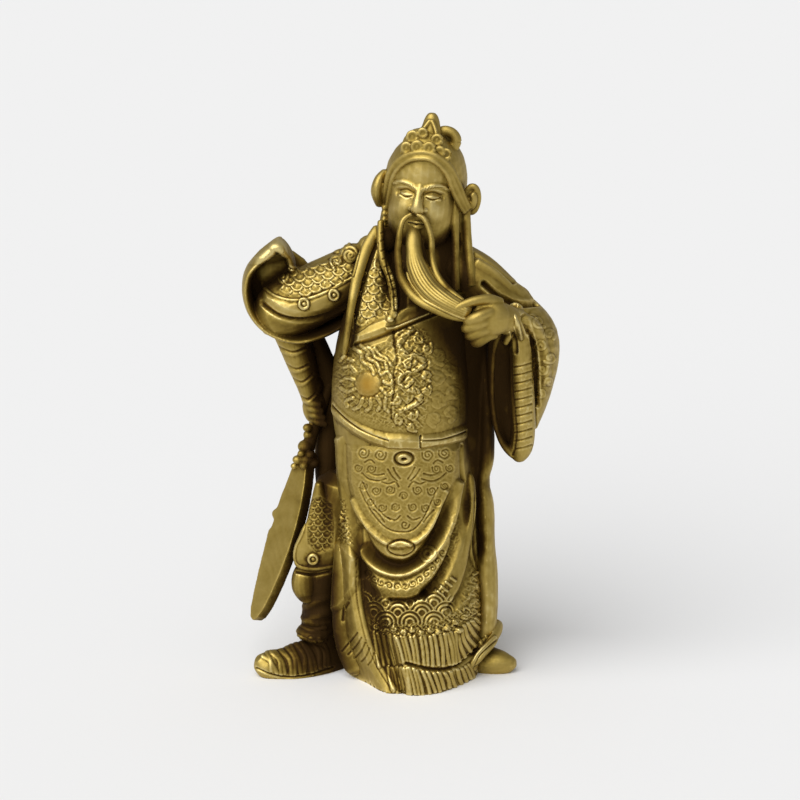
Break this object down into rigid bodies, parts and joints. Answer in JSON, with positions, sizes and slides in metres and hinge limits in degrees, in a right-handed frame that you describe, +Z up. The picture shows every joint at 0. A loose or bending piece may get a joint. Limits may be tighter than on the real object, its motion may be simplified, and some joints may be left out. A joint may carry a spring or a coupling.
{
  "type": "guan yu statue",
  "caption": "Cast brass figure of a standing bearded general in robe and armour, stroking his beard and holding a glaive with its blade down.",
  "frame": {"origin": "middle of the figure's bounding box in plan, on the ground it stands on", "axes": "+Z up, the figure faces -Y, +X to the right of someone facing it"},
  "size_m": [0.0554, 0.0292, 0.1002],
  "materials": {
    "cast_brass": "cast, darkened in the hollows and rubbed bright on the high places"
  },
  "bodies": {
    "root": {"general_figure": "cast_brass"}
  },
  "joints": []
}
